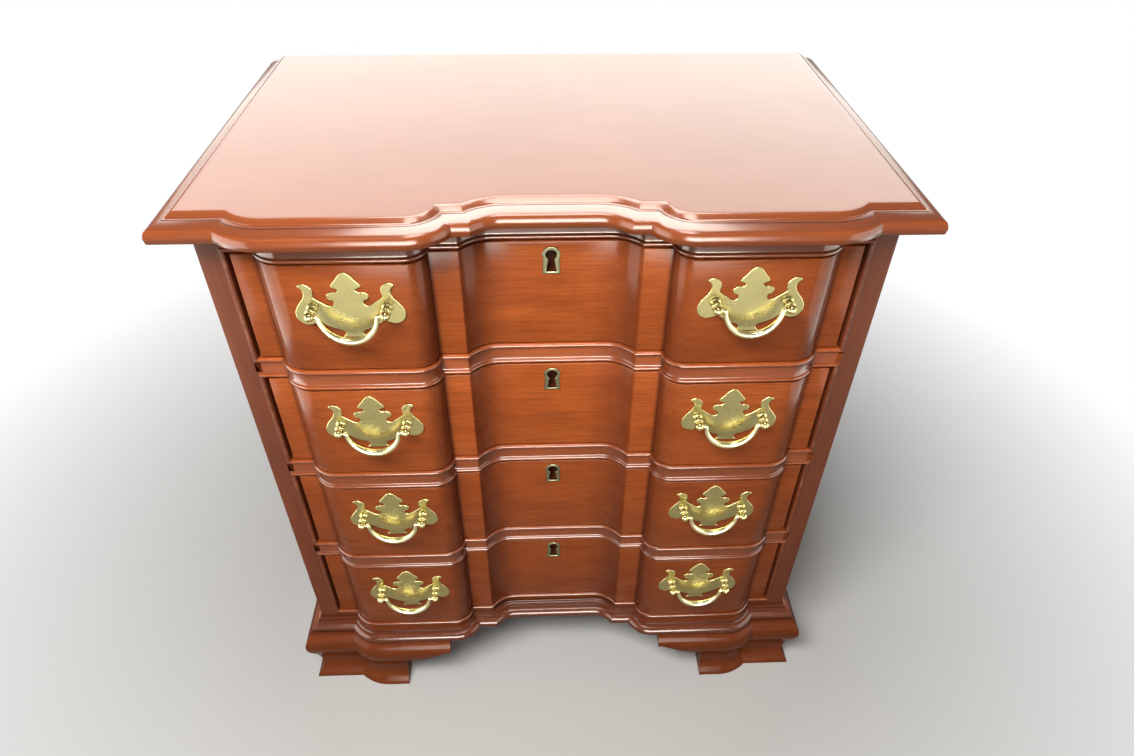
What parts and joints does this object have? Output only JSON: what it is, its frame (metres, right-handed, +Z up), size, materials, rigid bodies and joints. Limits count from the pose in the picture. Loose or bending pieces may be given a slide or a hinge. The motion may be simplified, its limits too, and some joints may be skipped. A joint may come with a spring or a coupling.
{
  "type": "block-front chest of drawers",
  "caption": "Bedside chest with a blocked front, moulded top, beaded rails, sliding drawers with swinging brass bail pulls, a moulded base and ogee bracket feet.",
  "frame": {"origin": "on the floor, under the middle of the whole chest's box", "axes": "+Z up, -Y out of the drawer fronts, +X to the right of someone who faces them"},
  "size_m": [0.7146, 0.4554, 0.764],
  "materials": {
    "case_mahogany": "satin lacquer",
    "drawer_mahogany": "satin lacquer",
    "inner_poplar": "bare",
    "polished_brass": "polished"
  },
  "bodies": {
    "case": {"top_panel": "case_mahogany", "left_side": "case_mahogany", "right_side": "case_mahogany", "top_rail": "case_mahogany", "drawer_rail_1": "case_mahogany", "drawer_rail_2": "case_mahogany", "drawer_rail_3": "case_mahogany", "bottom_rail": "case_mahogany", "dust_panel_1": "inner_poplar", "dust_panel_2": "inner_poplar", "dust_panel_3": "inner_poplar", "bottom_panel": "inner_poplar", "back_panel": "inner_poplar", "base_moulding_front": "case_mahogany", "base_moulding_left": "case_mahogany", "base_moulding_right": "case_mahogany", "front_left_foot": "case_mahogany", "front_right_foot": "case_mahogany", "rear_left_foot": "case_mahogany", "rear_right_foot": "case_mahogany"},
    "drawer_1": {"drawer_1_front": "drawer_mahogany", "drawer_1_left_side": "inner_poplar", "drawer_1_right_side": "inner_poplar", "drawer_1_back": "inner_poplar", "drawer_1_bottom": "inner_poplar", "drawer_1_left_pull": "polished_brass", "drawer_1_right_pull": "polished_brass", "drawer_1_keyhole": "polished_brass"},
    "drawer_1_left_bail_ring": {"drawer_1_left_bail": "polished_brass"},
    "drawer_1_right_bail_ring": {"drawer_1_right_bail": "polished_brass"},
    "drawer_2": {"drawer_2_front": "drawer_mahogany", "drawer_2_left_side": "inner_poplar", "drawer_2_right_side": "inner_poplar", "drawer_2_back": "inner_poplar", "drawer_2_bottom": "inner_poplar", "drawer_2_left_pull": "polished_brass", "drawer_2_right_pull": "polished_brass", "drawer_2_keyhole": "polished_brass"},
    "drawer_2_left_bail_ring": {"drawer_2_left_bail": "polished_brass"},
    "drawer_2_right_bail_ring": {"drawer_2_right_bail": "polished_brass"},
    "drawer_3": {"drawer_3_front": "drawer_mahogany", "drawer_3_left_side": "inner_poplar", "drawer_3_right_side": "inner_poplar", "drawer_3_back": "inner_poplar", "drawer_3_bottom": "inner_poplar", "drawer_3_left_pull": "polished_brass", "drawer_3_right_pull": "polished_brass", "drawer_3_keyhole": "polished_brass"},
    "drawer_3_left_bail_ring": {"drawer_3_left_bail": "polished_brass"},
    "drawer_3_right_bail_ring": {"drawer_3_right_bail": "polished_brass"},
    "drawer_4": {"drawer_4_front": "drawer_mahogany", "drawer_4_left_side": "inner_poplar", "drawer_4_right_side": "inner_poplar", "drawer_4_back": "inner_poplar", "drawer_4_bottom": "inner_poplar", "drawer_4_left_pull": "polished_brass", "drawer_4_right_pull": "polished_brass", "drawer_4_keyhole": "polished_brass"},
    "drawer_4_left_bail_ring": {"drawer_4_left_bail": "polished_brass"},
    "drawer_4_right_bail_ring": {"drawer_4_right_bail": "polished_brass"}
  },
  "joints": [
    {"name": "drawer_1_slide", "type": "slide", "parent": "case", "child": "drawer_1", "axis": [0, -1, 0], "range_m": [0, 0.28]},
    {"name": "drawer_1_left_bail_swing", "type": "hinge", "parent": "drawer_1", "child": "drawer_1_left_bail_ring", "pos_m": [-0.19225, -0.22265, 0.67025], "axis": [-1, 0, 0], "range_deg": [-20, 180]},
    {"name": "drawer_1_right_bail_swing", "type": "hinge", "parent": "drawer_1", "child": "drawer_1_right_bail_ring", "pos_m": [0.19225, -0.22265, 0.67025], "axis": [-1, 0, 0], "range_deg": [-20, 180]},
    {"name": "drawer_2_slide", "type": "slide", "parent": "case", "child": "drawer_2", "axis": [0, -1, 0], "range_m": [0, 0.28]},
    {"name": "drawer_2_left_bail_swing", "type": "hinge", "parent": "drawer_2", "child": "drawer_2_left_bail_ring", "pos_m": [-0.19225, -0.22265, 0.51875], "axis": [-1, 0, 0], "range_deg": [-20, 180]},
    {"name": "drawer_2_right_bail_swing", "type": "hinge", "parent": "drawer_2", "child": "drawer_2_right_bail_ring", "pos_m": [0.19225, -0.22265, 0.51875], "axis": [-1, 0, 0], "range_deg": [-20, 180]},
    {"name": "drawer_3_slide", "type": "slide", "parent": "case", "child": "drawer_3", "axis": [0, -1, 0], "range_m": [0, 0.28]},
    {"name": "drawer_3_left_bail_swing", "type": "hinge", "parent": "drawer_3", "child": "drawer_3_left_bail_ring", "pos_m": [-0.19225, -0.22265, 0.36725], "axis": [-1, 0, 0], "range_deg": [-20, 180]},
    {"name": "drawer_3_right_bail_swing", "type": "hinge", "parent": "drawer_3", "child": "drawer_3_right_bail_ring", "pos_m": [0.19225, -0.22265, 0.36725], "axis": [-1, 0, 0], "range_deg": [-20, 180]},
    {"name": "drawer_4_slide", "type": "slide", "parent": "case", "child": "drawer_4", "axis": [0, -1, 0], "range_m": [0, 0.28]},
    {"name": "drawer_4_left_bail_swing", "type": "hinge", "parent": "drawer_4", "child": "drawer_4_left_bail_ring", "pos_m": [-0.19225, -0.22265, 0.21575], "axis": [-1, 0, 0], "range_deg": [-20, 180]},
    {"name": "drawer_4_right_bail_swing", "type": "hinge", "parent": "drawer_4", "child": "drawer_4_right_bail_ring", "pos_m": [0.19225, -0.22265, 0.21575], "axis": [-1, 0, 0], "range_deg": [-20, 180]}
  ]
}
